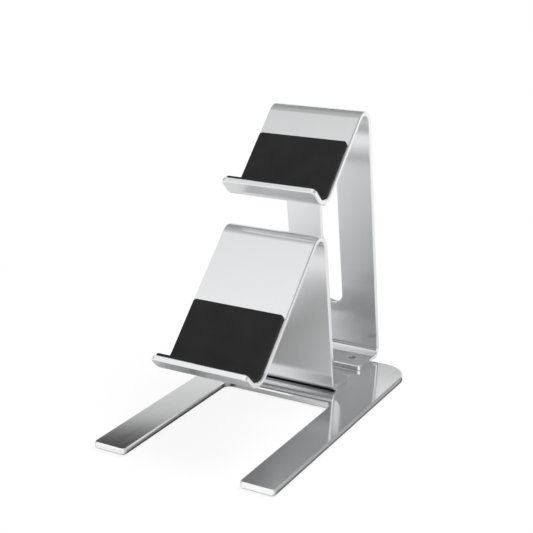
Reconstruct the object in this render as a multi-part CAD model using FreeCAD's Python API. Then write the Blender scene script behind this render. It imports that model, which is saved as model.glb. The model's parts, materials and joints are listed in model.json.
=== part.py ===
import FreeCAD, Part
import math
import os

from FreeCAD import Vector

# A desk stand that holds two game controllers, one above and behind the other.
# A U-shaped base plate lies on the desk with its two legs pointing forwards. Two folded
# brackets stand on its rear web. Each is one strip of sheet that rises, folds over at the
# top, runs down and forwards at 45 degrees and ends in a hook lined with silicone.
# Millimetres. +Z is up, -Y is the front, and the stand is symmetrical about X = 0.
# The origin is on the desk, in the middle of the footprint.

# Base plate
PLATE_THICKNESS = 3.0
PLATE_WIDTH = 90.0
LEG_LENGTH = 85.5
LEG_WIDTH = 16.6
WEB_DEPTH = 57.5
TIP_CORNER_RADIUS = 2.0
INNER_CORNER_RADIUS = 3.0
REAR_CORNER_RADIUS = 14.0
PLATE_CHAMFER = 0.5

# Folded brackets
SHEET_THICKNESS = 2.5
BRACKET_WIDTH = 47.5
FOOT_BEND_RADIUS = 2.8
TOP_BEND_RADIUS = 5.5
HOOK_BEND_RADIUS = 7.0
LIP_CORNER_RADIUS = 2.0
SHEET_CHAMFER = 0.4
ARM_SLOPE = 45.0

# Where the hooks lie: the line where the inner faces of arm and lip would meet
LOWER_HOOK_SETBACK = 25.7
LOWER_HOOK_HEIGHT = 30.0
UPPER_HOOK_SETBACK = 85.8
UPPER_HOOK_HEIGHT = 94.9
UPPER_LIP_LENGTH = 14.5
LOWER_LIP_LENGTH = 13.5

# Where the uprights stand and how far each arm reaches back from its hook
UPPER_ARM_LENGTH = 63.8
LOWER_ARM_LENGTH = 85.7
REAR_OVERHANG = 8.9
FRONT_FOOT_SETBACK = 14.0
REAR_SEAT_LENGTH = 18.0
FRONT_SEAT_LENGTH = 14.0

# Cable slot in the tall upright
SLOT_WIDTH = 9.7
SLOT_LENGTH = 86.0
SLOT_START = 28.0

# Silicone hook liners
LINER_THICKNESS = 1.5
LINER_SIDE_MARGIN = 0.6
LINER_LIP_MARGIN = 1.0
LINER_ARM_LENGTH = 34.0
LINER_CORNER_RADIUS = 1.5
LINER_EDGE_RADIUS = 0.4

# Silicone feet, set into pockets under the plate
FOOT_LENGTH = 30.0
FOOT_WIDTH = 9.0
FOOT_THICKNESS = 1.5
FOOT_POCKET_DEPTH = 1.0
FOOT_EDGE_RADIUS = 0.4
FRONT_FOOT_PAD_SETBACK = 22.0
REAR_FOOT_PAD_INSET = 27.0
FOOT_SIDE_INSET = 8.3

# Countersunk socket screws that come up through the plate into the bracket seats
SCREW_DIAMETER = 3.9
THREAD_BORE = 4.0
CLEARANCE_BORE = 4.4
SCREW_HEAD_DIAMETER = 7.6
SCREW_HEAD_HEIGHT = 1.85
SCREW_END_RECESS = 0.3
SCREW_SIDE_INSET = 8.75
SOCKET_WIDTH = 2.5
SOCKET_DEPTH = 1.5

# Levels
PLATE_BOTTOM = FOOT_THICKNESS - FOOT_POCKET_DEPTH
PLATE_TOP = PLATE_BOTTOM + PLATE_THICKNESS
PLATE_LENGTH = LEG_LENGTH + WEB_DEPTH

# Margin by which a cutting tool runs past what it cuts
CUT_MARGIN = 1.0


def polar(angle):
    """Unit direction in the side view, as (y, z), for an angle up from +Y."""
    return math.cos(math.radians(angle)), math.sin(math.radians(angle))


def step(point, direction, distance):
    """Point in the side view at a distance along a direction."""
    return point[0] + direction[0] * distance, point[1] + direction[1] * distance


def unit(start, end):
    """Unit direction in the side view from one point to another."""
    length = math.dist(start, end)
    return (end[0] - start[0]) / length, (end[1] - start[1]) / length


def left_of(direction):
    """Direction turned a quarter turn to the left."""
    return -direction[1], direction[0]


def spatial(point, x=0.0):
    """Side-view point (y, z) as a point in space."""
    return Vector(x, point[0], point[1])


UPHILL = polar(ARM_SLOPE)
LIP_DIRECTION = polar(180.0 - ARM_SLOPE)

LOWER_HOOK = (LOWER_HOOK_SETBACK, PLATE_TOP + LOWER_HOOK_HEIGHT)
UPPER_HOOK = (UPPER_HOOK_SETBACK, PLATE_TOP + UPPER_HOOK_HEIGHT)


def tangent_length(before, after, radius):
    """Distance from a corner to where an arc of that radius leaves its two sides."""
    turn = math.acos(before[0] * after[0] + before[1] * after[1])
    return radius * math.tan(turn / 2.0)


def turn_side(before, after):
    """+1 where the path turns left, -1 where it turns right."""
    return 1.0 if before[0] * after[1] - before[1] * after[0] > 0 else -1.0


def folded_edges(corners, inner_radii, thickness, offset):
    """Edges of one face of a folded strip, seen from the side.

    The path runs along the face that is uppermost on the arm, and the strip's thickness
    lies to its left. Offset is the distance of the wanted face from that path. All arcs of
    one bend share a centre, so the strip keeps its thickness round each bend.
    """
    edges = []
    last = step(corners[0], left_of(unit(corners[0], corners[1])), offset)
    for index, inner_radius in enumerate(inner_radii, start=1):
        before = unit(corners[index - 1], corners[index])
        after = unit(corners[index], corners[index + 1])
        side = turn_side(before, after)
        path_radius = inner_radius + thickness if side > 0 else inner_radius
        reach = tangent_length(before, after, path_radius)
        begin = step(corners[index], before, -reach)
        end = step(corners[index], after, reach)
        centre = step(begin, left_of(before), side * path_radius)
        radius = path_radius - side * offset
        middle_direction = unit(centre, corners[index])
        arc_begin = step(begin, left_of(before), offset)
        arc_end = step(end, left_of(after), offset)
        arc_middle = step(centre, middle_direction, radius)
        edges.append(Part.LineSegment(spatial(last), spatial(arc_begin)).toShape())
        edges.append(Part.Arc(spatial(arc_begin), spatial(arc_middle), spatial(arc_end)).toShape())
        last = arc_end
    finish = step(corners[-1], left_of(unit(corners[-2], corners[-1])), offset)
    edges.append(Part.LineSegment(spatial(last), spatial(finish)).toShape())
    return edges


def folded_strip(corners, inner_radii, thickness, width, near=0.0, far=None):
    """Solid strip folded along a path, centred on X = 0, between two offsets from the path."""
    far = thickness if far is None else far
    near_edges = folded_edges(corners, inner_radii, thickness, near)
    far_edges = folded_edges(corners, inner_radii, thickness, far)
    first_cap = Part.LineSegment(near_edges[0].firstVertex().Point, far_edges[0].firstVertex().Point)
    last_cap = Part.LineSegment(near_edges[-1].lastVertex().Point, far_edges[-1].lastVertex().Point)
    edges = near_edges + far_edges + [first_cap.toShape(), last_cap.toShape()]
    wire = Part.Wire(Part.__sortEdges__(edges))
    face = Part.Face(wire)
    face.translate(Vector(-width / 2.0, 0, 0))
    return face.extrude(Vector(width, 0, 0))


def top_corner(hook, arm_length):
    """Corner where the arm's upper face would meet the upright's rear face."""
    return step(hook, UPHILL, arm_length)


def rear_foot_corner():
    """Corner where the tall upright's rear face would meet the plate's top."""
    return PLATE_LENGTH + REAR_OVERHANG, PLATE_TOP


def front_foot_corner():
    """Corner where the short upright's rear face would meet the top of its seat."""
    return LEG_LENGTH + FRONT_FOOT_SETBACK, PLATE_TOP + SHEET_THICKNESS


def rear_path():
    """Path of the tall bracket: seat, upright, arm and lip."""
    foot = rear_foot_corner()
    top = top_corner(UPPER_HOOK, UPPER_ARM_LENGTH)
    rise = unit(foot, top)
    bend = tangent_length((1.0, 0.0), rise, FOOT_BEND_RADIUS + SHEET_THICKNESS)
    seat_end = (foot[0] - bend - REAR_SEAT_LENGTH, foot[1])
    return [seat_end, foot, top, UPPER_HOOK, step(UPPER_HOOK, LIP_DIRECTION, UPPER_LIP_LENGTH)]


def front_path():
    """Path of the short bracket, whose seat points to the rear."""
    foot = front_foot_corner()
    top = top_corner(LOWER_HOOK, LOWER_ARM_LENGTH)
    rise = unit(foot, top)
    bend = tangent_length((-1.0, 0.0), rise, FOOT_BEND_RADIUS)
    seat_end = (foot[0] + bend + FRONT_SEAT_LENGTH, foot[1])
    return [seat_end, foot, top, LOWER_HOOK, step(LOWER_HOOK, LIP_DIRECTION, LOWER_LIP_LENGTH)]


def rear_screw_line():
    """Distance of the rear pair of screws behind the leg tips."""
    return rear_path()[0][0] + REAR_SEAT_LENGTH / 2.0


def front_screw_line():
    """Distance of the front pair of screws behind the leg tips."""
    return front_path()[0][0] - FRONT_SEAT_LENGTH / 2.0


def is_near(value, target):
    """True where two lengths or sines agree to a few parts in a million."""
    return abs(value - target) < 1e-5


def end_corners(solid, end, direction):
    """Short edges across the thickness at one end of a strip."""
    across = spatial(left_of(direction))
    found = []
    for edge in solid.Edges:
        if not isinstance(edge.Curve, Part.Line):
            continue
        middle = edge.CenterOfMass
        along = (middle.y - end[0]) * direction[0] + (middle.z - end[1]) * direction[1]
        if is_near(along, 0.0) and is_near(abs(edge.tangentAt(edge.FirstParameter).dot(across)), 1.0):
            found.append(edge)
    return found


def rim_edges(solid, sheet_width):
    """Edges between the broad faces of a folded strip and its rims.

    A broad face runs along X for more than half the strip's width and faces square to X.
    """
    counts = {}
    for face in solid.Faces:
        u_low, u_high, v_low, v_high = face.ParameterRange
        normal = face.normalAt((u_low + u_high) / 2.0, (v_low + v_high) / 2.0)
        wide = face.BoundBox.XLength > sheet_width / 2.0
        thick = side_view_length(face) > SHEET_THICKNESS * 1.01
        if not (is_near(normal.x, 0.0) and wide and thick):
            continue
        for edge in face.Edges:
            key = edge.hashCode()
            counts.setdefault(key, [edge, 0])[1] += 1
    return [edge for edge, count in counts.values() if count == 1]


def side_view_length(face):
    """Length of a face in the side view, measured corner to corner."""
    return math.hypot(face.BoundBox.YLength, face.BoundBox.ZLength)


def slot_tool():
    """Cutter with round ends, square to the tall upright."""
    foot, top = rear_path()[1:3]
    rise = unit(foot, top)
    inward = left_of(rise)
    radius = SLOT_WIDTH / 2.0
    low = step(step(foot, rise, SLOT_START + radius), inward, -CUT_MARGIN)
    high = step(low, rise, SLOT_LENGTH - SLOT_WIDTH)
    sides = [spatial(low, radius), spatial(high, radius), spatial(high, -radius), spatial(low, -radius)]
    crown = spatial(step(high, rise, radius))
    heel = spatial(step(low, rise, -radius))
    wire = Part.Wire([
        Part.LineSegment(sides[0], sides[1]).toShape(),
        Part.Arc(sides[1], crown, sides[2]).toShape(),
        Part.LineSegment(sides[2], sides[3]).toShape(),
        Part.Arc(sides[3], heel, sides[0]).toShape(),
    ])
    return Part.Face(wire).extrude(spatial(inward) * (SHEET_THICKNESS + 2.0 * CUT_MARGIN))


def screw_places(line):
    """Centres of one pair of screws, on the plate's underside."""
    reach = BRACKET_WIDTH / 2.0 - SCREW_SIDE_INSET
    return [Vector(side * reach, line, PLATE_BOTTOM) for side in (-1, 1)]


def thread_bores(line):
    """Cutters for the threaded holes in a bracket's seat."""
    height = PLATE_THICKNESS + SHEET_THICKNESS + CUT_MARGIN
    return [Part.makeCylinder(THREAD_BORE / 2.0, height, place) for place in screw_places(line)]


def folded_bracket(path, screw_line, cuts):
    """Bracket with rounded lip corners, cut-outs, chamfered rims and threaded seat holes."""
    bend_radii = [FOOT_BEND_RADIUS, TOP_BEND_RADIUS, HOOK_BEND_RADIUS]
    solid = folded_strip(path, bend_radii, SHEET_THICKNESS, BRACKET_WIDTH)
    lip = end_corners(solid, path[-1], unit(path[-2], path[-1]))
    solid = solid.makeFillet(LIP_CORNER_RADIUS, lip)
    seat = end_corners(solid, path[0], unit(path[1], path[0]))
    solid = solid.makeFillet(LIP_CORNER_RADIUS, seat)
    for cut in cuts:
        solid = solid.cut(cut)
    solid = solid.makeChamfer(SHEET_CHAMFER, rim_edges(solid, BRACKET_WIDTH))
    for bore in thread_bores(screw_line):
        solid = solid.cut(bore)
    return solid


def rear_bracket():
    """Tall bracket with the cable slot, holding the upper hook."""
    return folded_bracket(rear_path(), rear_screw_line(), [slot_tool()])


def front_bracket():
    """Short bracket, holding the lower hook."""
    return folded_bracket(front_path(), front_screw_line(), [])


def hook_liner(hook, lip_length):
    """Silicone strip glued to the inside of a hook, from the lip up on to the arm."""
    start = step(hook, UPHILL, LINER_ARM_LENGTH)
    end = step(hook, LIP_DIRECTION, lip_length - LINER_LIP_MARGIN)
    width = BRACKET_WIDTH - 2.0 * (SHEET_CHAMFER + LINER_SIDE_MARGIN)
    path = [start, hook, end]
    solid = folded_strip(path, [HOOK_BEND_RADIUS], SHEET_THICKNESS, width, 0.0, -LINER_THICKNESS)
    corners = end_corners(solid, start, unit(hook, start)) + end_corners(solid, end, unit(hook, end))
    solid = solid.makeFillet(LINER_CORNER_RADIUS, corners)
    return solid.makeFillet(LINER_EDGE_RADIUS, rim_edges(solid, width))


def plate_outline():
    """U shape seen from above: two legs to the front and a web with large rear corners."""
    half = PLATE_WIDTH / 2.0
    inner = half - LEG_WIDTH
    corners = [
        (-half, 0.0, TIP_CORNER_RADIUS),
        (-inner, 0.0, TIP_CORNER_RADIUS),
        (-inner, LEG_LENGTH, INNER_CORNER_RADIUS),
        (inner, LEG_LENGTH, INNER_CORNER_RADIUS),
        (inner, 0.0, TIP_CORNER_RADIUS),
        (half, 0.0, TIP_CORNER_RADIUS),
        (half, PLATE_LENGTH, REAR_CORNER_RADIUS),
        (-half, PLATE_LENGTH, REAR_CORNER_RADIUS),
    ]
    return rounded_outline(corners, PLATE_BOTTOM)


def rounded_outline(corners, level):
    """Closed wire at one level through square corners, each with its own radius."""
    edges = []
    count = len(corners)
    joints = []
    for index, (x, y, radius) in enumerate(corners):
        before = unit(corners[index - 1][:2], (x, y))
        after = unit((x, y), corners[(index + 1) % count][:2])
        begin = step((x, y), before, -radius)
        end = step((x, y), after, radius)
        centre = step(begin, after, radius)
        middle = step(centre, unit(centre, (x, y)), radius)
        joints.append([Vector(point[0], point[1], level) for point in (begin, middle, end)])
    for index, (begin, middle, end) in enumerate(joints):
        edges.append(Part.Arc(begin, middle, end).toShape())
        edges.append(Part.LineSegment(end, joints[(index + 1) % count][0]).toShape())
    return Part.Wire(edges)


def foot_places():
    """Centres of the four feet on the desk, by node name."""
    side = PLATE_WIDTH / 2.0 - FOOT_SIDE_INSET
    front = FRONT_FOOT_PAD_SETBACK
    rear = PLATE_LENGTH - REAR_FOOT_PAD_INSET
    return {
        "front_left_foot": Vector(-side, front, 0.0),
        "front_right_foot": Vector(side, front, 0.0),
        "rear_left_foot": Vector(-side, rear, 0.0),
        "rear_right_foot": Vector(side, rear, 0.0),
    }


def foot_pad(place, height):
    """Pad with round ends, its length along Y, standing on the desk."""
    radius = FOOT_WIDTH / 2.0
    reach = FOOT_LENGTH / 2.0
    corners = [
        Vector(radius, radius - reach, 0),
        Vector(radius, reach - radius, 0),
        Vector(-radius, reach - radius, 0),
        Vector(-radius, radius - reach, 0),
    ]
    wire = Part.Wire([
        Part.LineSegment(corners[0], corners[1]).toShape(),
        Part.Arc(corners[1], Vector(0, reach, 0), corners[2]).toShape(),
        Part.LineSegment(corners[2], corners[3]).toShape(),
        Part.Arc(corners[3], Vector(0, -reach, 0), corners[0]).toShape(),
    ])
    pad = Part.Face(wire).extrude(Vector(0, 0, height))
    pad.translate(place)
    return pad


def silicone_foot(place):
    """Foot whose edge is rounded where it meets the desk."""
    foot = foot_pad(place, FOOT_THICKNESS)
    rim = [edge for edge in foot.Edges if is_near(edge.BoundBox.ZMax, 0.0)]
    return foot.makeFillet(FOOT_EDGE_RADIUS, rim)


def screw_head_cone(place):
    """Countersink cone, widest at the plate's underside."""
    return Part.makeCone(SCREW_HEAD_DIAMETER / 2.0, SCREW_DIAMETER / 2.0, SCREW_HEAD_HEIGHT, place)


def screw(place):
    """Countersunk screw with a hexagon socket, pointing up."""
    length = PLATE_THICKNESS + SHEET_THICKNESS - SCREW_END_RECESS
    body = Part.makeCylinder(SCREW_DIAMETER / 2.0, length, place).fuse(screw_head_cone(place))
    corner_radius = SOCKET_WIDTH / math.sqrt(3.0)
    points = [
        place + Vector(corner_radius * math.cos(turn), corner_radius * math.sin(turn), -CUT_MARGIN)
        for turn in (math.radians(60.0 * index) for index in range(7))
    ]
    socket = Part.Face(Part.makePolygon(points)).extrude(Vector(0, 0, SOCKET_DEPTH + CUT_MARGIN))
    return body.removeSplitter().cut(socket)


def base_plate():
    """Plate with chamfered edges, foot pockets and countersunk screw holes."""
    plate = Part.Face(plate_outline()).extrude(Vector(0, 0, PLATE_THICKNESS))
    flat_levels = (PLATE_BOTTOM, PLATE_TOP)
    rims = [edge for edge in plate.Edges if any(
        is_near(edge.BoundBox.ZMin, level) and is_near(edge.BoundBox.ZMax, level) for level in flat_levels)]
    plate = plate.makeChamfer(PLATE_CHAMFER, rims)
    for place in foot_places().values():
        plate = plate.cut(foot_pad(place, PLATE_BOTTOM + FOOT_POCKET_DEPTH))
    for place in screw_places(rear_screw_line()) + screw_places(front_screw_line()):
        plate = plate.cut(Part.makeCylinder(CLEARANCE_BORE / 2.0, PLATE_THICKNESS, place))
        plate = plate.cut(screw_head_cone(place))
    return plate


def screw_nodes():
    """The four screws, by node name."""
    rear = screw_places(rear_screw_line())
    front = screw_places(front_screw_line())
    return {
        "rear_left_screw": screw(rear[0]),
        "rear_right_screw": screw(rear[1]),
        "front_left_screw": screw(front[0]),
        "front_right_screw": screw(front[1]),
    }


def stand_nodes():
    """Every piece of the stand, by node name, measured back from the leg tips."""
    nodes = {
        "base_plate": base_plate(),
        "rear_bracket": rear_bracket(),
        "front_bracket": front_bracket(),
        "upper_hook_liner": hook_liner(UPPER_HOOK, UPPER_LIP_LENGTH),
        "lower_hook_liner": hook_liner(LOWER_HOOK, LOWER_LIP_LENGTH),
    }
    for name, place in foot_places().items():
        nodes[name] = silicone_foot(place)
    nodes.update(screw_nodes())
    return nodes


def footprint_middle(nodes):
    """Distance of the footprint's middle behind the leg tips."""
    boxes = [shape.BoundBox for shape in nodes.values()]
    return (min(box.YMin for box in boxes) + max(box.YMax for box in boxes)) / 2.0


def main():
    os.makedirs("parts", exist_ok=True)
    nodes = stand_nodes()
    middle = footprint_middle(nodes)
    for name, shape in nodes.items():
        shape.translate(Vector(0, -middle, 0))
        shape.exportStep(os.path.join("parts", name + ".step"))
        print(name, "solids", len(shape.Solids), "valid", shape.isValid(), "volume", round(shape.Volume, 1))


main()
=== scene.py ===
import json
import math

import bpy
import numpy as np
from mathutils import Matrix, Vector

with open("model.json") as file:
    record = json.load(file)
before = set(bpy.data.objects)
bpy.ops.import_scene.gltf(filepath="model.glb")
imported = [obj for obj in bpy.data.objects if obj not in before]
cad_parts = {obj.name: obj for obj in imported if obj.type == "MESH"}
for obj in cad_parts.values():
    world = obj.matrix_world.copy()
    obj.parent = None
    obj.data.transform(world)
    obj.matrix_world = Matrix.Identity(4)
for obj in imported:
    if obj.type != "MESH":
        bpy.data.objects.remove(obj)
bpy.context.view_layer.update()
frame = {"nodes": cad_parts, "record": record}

MM = 0.001
WHITE = (1.0, 1.0, 1.0, 1.0)

# Sockets of a Mix node that mixes colours
COLOUR_A, COLOUR_B, COLOUR_RESULT = 6, 7, 2


def linear(hex_colour):
    """sRGB hex, such as "C8C9CB", as an opaque linear RGBA tuple."""
    channels = [int(hex_colour[i:i + 2], 16) / 255.0 for i in (0, 2, 4)]
    return (*(c / 12.92 if c <= 0.04045 else ((c + 0.055) / 1.055) ** 2.4 for c in channels), 1.0)


def add(tree, kind, inputs=None, stops=(), **settings):
    """Adds one node.

    The settings are its properties, the inputs its sockets' values or the sockets that feed them,
    and the stops a colour ramp's positions with a grey or RGBA colour each.
    """
    node = tree.nodes.new("ShaderNode" + kind)
    for name, value in settings.items():
        setattr(node, name, value)
    for key, value in (inputs or {}).items():
        if isinstance(value, bpy.types.NodeSocket):
            tree.links.new(value, node.inputs[key])
        else:
            node.inputs[key].default_value = value
    for _ in stops[2:]:
        node.color_ramp.elements.new(0.5)
    for index, (position, colour) in enumerate(stops):
        element = node.color_ramp.elements[index]
        element.position = position
        element.color = colour if isinstance(colour, tuple) else (colour, colour, colour, 1.0)
    return node


def material(name):
    """Empty node material and its tree, with the output node."""
    made = bpy.data.materials.new(name)
    made.use_nodes = True
    made.node_tree.nodes.clear()
    return made, made.node_tree, add(made.node_tree, "OutputMaterial")


# Aluminium sheet, brushed with an abrasive belt and then clear anodised: a pale, satin metal
# with fine straight grain, which spreads what it mirrors across the grain. Its edges are cut
# and bevelled after the brushing, so they are a little paler and have no grain.
GRAIN_WIDTH_MM = 0.16  # the real grain is about 0.05 mm, drawn coarser so that it shows
GRAIN_LENGTH_MM = 26.0
GRAIN_DEPTH_MM = 0.006
GRAIN_STRENGTH = 0.15
GRAIN_SPREAD = 0.85
EDGE_ROUGHNESS = 0.12


def grain(tree, seed):
    """Streaks of brushing square to X: noise that is fine along X and long along Y and Z."""
    fine = 1.0 / (GRAIN_WIDTH_MM * MM)
    slow = 1.0 / (GRAIN_LENGTH_MM * MM)
    mapped = add(tree, "Mapping", {
        "Vector": add(tree, "TexCoord").outputs["Object"],
        "Location": (seed, 0.0, 0.0), "Scale": (fine, slow, slow),
    })
    return add(tree, "TexNoise", {
        "Vector": mapped.outputs["Vector"], "Scale": 1.0, "Detail": 3.0, "Roughness": 0.6,
    }).outputs["Fac"]


def brushed_anodised_aluminium(name, axis, test, limit, satin, seed):
    """Brushed aluminium, with the grain square to X and satin as its mean roughness.

    A face is brushed where its normal's share along the axis passes the test against the limit.
    The other faces are bevels and cut edges, which are smooth. The seed shifts the grain.
    """
    made, tree, output = material(name)
    streaks = grain(tree, seed)
    normal = add(tree, "SeparateXYZ", {0: add(tree, "NewGeometry").outputs["True Normal"]})
    lean = add(tree, "Math", {0: normal.outputs[axis]}, operation="ABSOLUTE").outputs[0]
    brushed = add(tree, "Math", {0: lean, 1: limit}, operation=test).outputs[0]
    edge = add(tree, "Math", {0: 1.0, 1: brushed}, operation="SUBTRACT").outputs[0]
    tone = add(tree, "ValToRGB", {"Fac": streaks}, [
        (0.25, linear("ECEDEE")), (0.75, linear("F4F4F5")),
    ])
    colour = add(tree, "Mix", {
        "Factor": edge, COLOUR_A: tone.outputs["Color"], COLOUR_B: linear("F8F8F8"),
    }, data_type="RGBA").outputs[COLOUR_RESULT]
    haze = add(tree, "MapRange", {
        "Value": streaks, "From Min": 0.3, "From Max": 0.7,
        "To Min": satin - 0.02, "To Max": satin + 0.02,
    }).outputs["Result"]
    roughness = add(tree, "Mix", {"Factor": edge, "A": haze, "B": EDGE_ROUGHNESS}).outputs["Result"]
    strength = add(tree, "Math", {0: brushed, 1: GRAIN_STRENGTH}, operation="MULTIPLY").outputs[0]
    bump = add(tree, "Bump", {
        "Strength": strength, "Distance": GRAIN_DEPTH_MM * MM, "Height": streaks,
    })
    tangent = add(tree, "CombineXYZ", {"X": brushed, "Z": edge}).outputs[0]
    shader = add(tree, "BsdfPrincipled", {
        "Base Color": colour, "Metallic": 1.0, "Roughness": roughness,
        "Normal": bump.outputs["Normal"], "Anisotropic": GRAIN_SPREAD, "Tangent": tangent,
    })
    tree.links.new(shader.outputs[0], output.inputs["Surface"])
    return made


# Black silicone rubber, moulded in a fine-blasted tool: matt, with a soft fine texture and
# patches of slightly different sheen.
TEXTURE_GRAIN_MM = 0.5  # the real texture is about 0.1 mm, drawn coarser so that it shows
TEXTURE_DEPTH_MM = 0.03
PATCH_MM = 9.0


def moulded_silicone(name, hex_colour, roughness):
    """Moulded silicone rubber of a given colour and mean roughness."""
    made, tree, output = material(name)
    coordinates = add(tree, "TexCoord").outputs["Object"]
    texture = add(tree, "TexNoise", {
        "Vector": coordinates, "Scale": 1.0 / (TEXTURE_GRAIN_MM * MM), "Detail": 2.0,
        "Roughness": 0.5,
    }).outputs["Fac"]
    patches = add(tree, "TexNoise", {
        "Vector": coordinates, "Scale": 1.0 / (PATCH_MM * MM), "Detail": 2.0,
    }).outputs["Fac"]
    haze = add(tree, "MapRange", {
        "Value": patches, "From Min": 0.3, "From Max": 0.7,
        "To Min": roughness - 0.06, "To Max": roughness + 0.06,
    }).outputs["Result"]
    bump = add(tree, "Bump", {
        "Strength": 0.3, "Distance": TEXTURE_DEPTH_MM * MM, "Height": texture,
    })
    shader = add(tree, "BsdfPrincipled", {
        "Base Color": linear(hex_colour), "Roughness": haze, "IOR": 1.41,
        "Normal": bump.outputs["Normal"],
    })
    tree.links.new(shader.outputs[0], output.inputs["Surface"])
    return made


# Steel screw with a thin zinc coat: bluish grey and satin, with the faint mottling of the
# coat's crystals.
MOTTLE_MM = 1.2  # real crystals are about 0.1 mm, drawn coarser so that they show


def zinc_plated_steel(name):
    """Zinc-plated steel."""
    made, tree, output = material(name)
    coordinates = add(tree, "TexCoord").outputs["Object"]
    mottle = add(tree, "TexNoise", {
        "Vector": coordinates, "Scale": 1.0 / (MOTTLE_MM * MM), "Detail": 3.0,
    }).outputs["Fac"]
    tone = add(tree, "ValToRGB", {"Fac": mottle}, [
        (0.3, linear("9EA1A5")), (0.7, linear("BEC0C3")),
    ])
    haze = add(tree, "MapRange", {
        "Value": mottle, "From Min": 0.3, "From Max": 0.7, "To Min": 0.22, "To Max": 0.34,
    }).outputs["Result"]
    shader = add(tree, "BsdfPrincipled", {
        "Base Color": tone.outputs["Color"], "Metallic": 1.0, "Roughness": haze,
    })
    tree.links.new(shader.outputs[0], output.inputs["Surface"])
    return made


FINISHES = {
    "plate_aluminium": brushed_anodised_aluminium(
        "plate_brushed_anodised_aluminium", "Z", "GREATER_THAN", 0.93, 0.07, 0.0),
    "bracket_aluminium": brushed_anodised_aluminium(
        "bracket_brushed_anodised_aluminium", "X", "LESS_THAN", 0.30, 0.22, 5.0),
    "liner_silicone": moulded_silicone("liner_moulded_silicone", "161616", 0.62),
    "foot_silicone": moulded_silicone("foot_moulded_silicone", "1C1C1C", 0.70),
    "screw_steel": zinc_plated_steel("screw_zinc_plated_steel"),
}


def dress_frame():
    """Gives every carried-over node its finish."""
    slots = {part["node"]: part["material_slot"] for part in frame["record"]["subparts"]}
    for name, node in frame["nodes"].items():
        node.data.materials.clear()
        node.data.materials.append(FINISHES[slots[name]])


# Painted shade on the paper near the stand, as the metal mirrors it: a tone by X in millimetres,
# darker than the paper's own tone, with a narrow painted shade along the right wall of each leg, at
# -28.4 and at 45.
MIRRORED_PAINTED_SHADE = [
    (-90.0, 0.78), (-46.0, 0.62),
    (-29.0, 0.66), (-28.5, 0.06), (-26.3, 0.06), (-25.4, 0.50), (-22.0, 0.62),
    (44.0, 0.62), (45.0, 0.05), (46.5, 0.06), (47.2, 0.42), (50.0, 0.50), (70.0, 0.66),
]
MIRRORED_FROM, MIRRORED_TO = -100.0, 100.0

# Where that painted shade ends in front and behind, in millimetres of Y, and the painted tone
# beyond, still darker than the paper's own
MIRRORED_PAINTED_SHADE_ENDS = [(-76.0, -1, "EAEAEA"), (64.0, 1, "CFCFCF")]

FLOOR_REACH = 6.0  # metres from the middle to each side
FLOOR_DROP_MM = 0.02  # keeps the paper just below the feet


def studio_floor():
    """Pale matt paper. The camera sees it fade to white around the stand, with a faint shadow.

    The metal mirrors the painted shade above instead of the paper's own tone, and that also turns
    nearly white farther out.
    """
    made, tree, output = material("studio_paper")
    place = add(tree, "TexCoord").outputs["Object"]
    parts = add(tree, "SeparateXYZ", {0: place})
    path = add(tree, "LightPath")
    across = add(tree, "MapRange", {
        "Value": parts.outputs["X"], "From Min": MIRRORED_FROM * MM, "From Max": MIRRORED_TO * MM,
    }).outputs["Result"]
    span = MIRRORED_TO - MIRRORED_FROM
    # Painted shade that only glossy rays see: the tone ramp across X, with dark strips beside the
    # legs
    mirrored = add(tree, "ValToRGB", {"Fac": across}, [
        ((x - MIRRORED_FROM) / span, tone) for x, tone in MIRRORED_PAINTED_SHADE
    ]).outputs["Color"]
    # The painted shade goes on beyond each end with its own tone, lighter in front of the tips and
    # darker behind
    for end, outwards, colour in MIRRORED_PAINTED_SHADE_ENDS:
        beyond = add(tree, "MapRange", {
            "Value": parts.outputs["Y"],
            "From Min": (end - 2 * outwards) * MM, "From Max": (end + 2 * outwards) * MM,
        }).outputs["Result"]
        mirrored = add(tree, "Mix", {
            "Factor": beyond, COLOUR_A: mirrored, COLOUR_B: linear(colour),
        }, data_type="RGBA").outputs[COLOUR_RESULT]
    # Glossy rays see the painted shade, all other rays the paper's own pale tone
    tone = add(tree, "Mix", {
        "Factor": path.outputs["Is Glossy Ray"], COLOUR_A: linear("F4F4F4"), COLOUR_B: mirrored,
    }, data_type="RGBA").outputs[COLOUR_RESULT]
    paper = add(tree, "BsdfDiffuse", {"Color": tone})
    white = add(tree, "Emission", {"Color": WHITE, "Strength": 1.0})
    reach = add(tree, "VectorMath", {0: place}, operation="LENGTH").outputs["Value"]
    seen_whiteness = add(tree, "MapRange", {
        "Value": reach, "From Min": 0.10, "From Max": 0.30, "To Min": 0.86, "To Max": 1.0,
    }).outputs["Result"]
    mirrored_whiteness = add(tree, "MapRange", {
        "Value": reach, "From Min": 0.20, "From Max": 0.50, "To Max": 0.80,
    }).outputs["Result"]
    seen = add(tree, "Math", {
        0: path.outputs["Is Camera Ray"], 1: seen_whiteness,
    }, operation="MULTIPLY")
    whiteness = add(tree, "Math", {
        0: path.outputs["Is Glossy Ray"], 1: mirrored_whiteness, 2: seen.outputs[0],
    }, operation="MULTIPLY_ADD")
    shader = add(tree, "MixShader", {
        0: whiteness.outputs[0], 1: paper.outputs[0], 2: white.outputs[0],
    })
    tree.links.new(shader.outputs[0], output.inputs["Surface"])
    corners = np.array([(-1, -1, 0), (1, -1, 0), (1, 1, 0), (-1, 1, 0)]) * FLOOR_REACH
    corners[:, 2] = -FLOOR_DROP_MM * MM
    sheet = bpy.data.meshes.new("studio_floor")
    sheet.from_pydata(corners.tolist(), [], [(0, 1, 2, 3)])
    sheet.materials.append(made)
    floor = bpy.data.objects.new("studio_floor", sheet)
    bpy.context.scene.collection.objects.link(floor)


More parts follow.
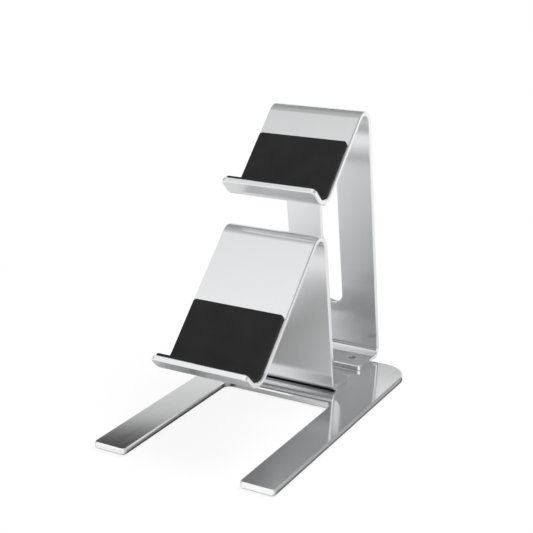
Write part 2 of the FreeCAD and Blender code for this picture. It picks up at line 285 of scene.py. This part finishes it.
def studio_world():
    """Light tent around the stand: the metal mirrors it, and the camera sees plain white.

    Behind the stand, on the left, it goes from white at the horizon to grey overhead, with a dark
    band where height - 0.09 x is 0.48 to 0.53. On the right it goes to a darker grey, with a
    bright strip at height 0.46 to 0.52. In front it is dark on the left up to height 0.45, and
    white on the right and overhead. Heights and x are parts of a direction of length 1.
    """
    world = bpy.data.worlds.new("studio_surround")
    world.use_nodes = True
    tree = world.node_tree
    tree.nodes.clear()
    output = add(tree, "OutputWorld")
    parts = add(tree, "SeparateXYZ", {0: add(tree, "TexCoord").outputs["Generated"]})
    tilted = add(tree, "Math", {
        0: parts.outputs["X"], 1: -0.09, 2: parts.outputs["Z"],
    }, operation="MULTIPLY_ADD").outputs[0]
    left = add(tree, "ValToRGB", {"Fac": tilted}, [
        (0.0, 1.0), (0.36, 0.94), (0.40, 0.56), (0.418, 0.56), (0.438, 0.84), (0.452, 0.66),
        (0.473, 0.64), (0.483, 0.03), (0.530, 0.03), (0.58, 0.40), (0.70, 0.38), (0.78, 0.28),
        (0.90, 0.50),
    ]).outputs["Color"]
    right = add(tree, "ValToRGB", {"Fac": parts.outputs["Z"]}, [
        (0.0, 0.90), (0.12, 0.45), (0.42, 0.30), (0.46, 0.95), (0.515, 0.95), (0.545, 0.05),
        (0.60, 0.40), (0.90, 0.50),
    ]).outputs["Color"]
    front_left = add(tree, "ValToRGB", {"Fac": parts.outputs["Z"]}, [
        (0.0, 0.24), (0.45, 0.20), (0.58, 1.0),
    ]).outputs["Color"]
    rightness = add(tree, "MapRange", {
        "Value": parts.outputs["X"], "From Min": 0.05, "From Max": 0.30,
    }).outputs["Result"]
    frontness = add(tree, "MapRange", {
        "Value": parts.outputs["Y"], "From Min": 0.0, "From Max": -0.35,
    }).outputs["Result"]
    behind = add(tree, "Mix", {
        "Factor": rightness, COLOUR_A: left, COLOUR_B: right,
    }, data_type="RGBA").outputs[COLOUR_RESULT]
    front = add(tree, "Mix", {
        "Factor": rightness, COLOUR_A: front_left, COLOUR_B: WHITE,
    }, data_type="RGBA").outputs[COLOUR_RESULT]
    tent = add(tree, "Mix", {
        "Factor": frontness, COLOUR_A: behind, COLOUR_B: front,
    }, data_type="RGBA").outputs[COLOUR_RESULT]
    mirrored = add(tree, "Background", {"Color": tent, "Strength": 1.0})
    white = add(tree, "Background", {"Color": WHITE, "Strength": 1.0})
    shader = add(tree, "MixShader", {
        0: add(tree, "LightPath").outputs["Is Camera Ray"],
        1: mirrored.outputs[0], 2: white.outputs[0],
    })
    tree.links.new(shader.outputs[0], output.inputs["Surface"])
    bpy.context.scene.world = world


def softbox(name, place, target, size, watts):
    """Square area lamp of a given side that faces a target. The metal doesn't mirror it."""
    data = bpy.data.lights.new(name, "AREA")
    data.shape = "SQUARE"
    data.size = size
    data.energy = watts
    lamp = bpy.data.objects.new(name, data)
    lamp.location = place
    lamp.rotation_euler = (Vector(target) - Vector(place)).to_track_quat("-Z", "Y").to_euler()
    lamp.visible_glossy = False
    bpy.context.scene.collection.objects.link(lamp)


# The photograph's camera: its place in metres, and how many degrees it stands round to the right
# of the front and looks down
CAMERA_PLACE = (0.2409, -0.4324, 0.2279)
CAMERA_TURN, CAMERA_DIP = 29.19, 17.76
SENSOR_MM = 36.0
PICTURE_PIXELS = 533.0
FOCAL_PIXELS = 1144.0


def camera():
    """Camera at the photograph's viewing angle."""
    data = bpy.data.cameras.new("photo_camera")
    data.sensor_width = SENSOR_MM
    data.lens = SENSOR_MM * FOCAL_PIXELS / PICTURE_PIXELS
    data.clip_start = 0.01
    shot = bpy.data.objects.new("photo_camera", data)
    shot.location = CAMERA_PLACE
    turn, dip = math.radians(CAMERA_TURN), math.radians(CAMERA_DIP)
    level = math.cos(dip)
    ahead = Vector((-math.sin(turn) * level, math.cos(turn) * level, -math.sin(dip)))
    shot.rotation_euler = ahead.to_track_quat("-Z", "Y").to_euler()
    bpy.context.scene.collection.objects.link(shot)
    bpy.context.scene.camera = shot


dress_frame()
studio_floor()
studio_world()
softbox("top_softbox", (0.35, 0.30, 1.25), (0.0, 0.0, 0.08), 0.9, 12.0)
softbox("right_softbox", (1.1, -0.5, 0.9), (0.0, 0.0, 0.06), 0.7, 1.6)
camera()
bpy.context.scene.view_settings.view_transform = "Standard"
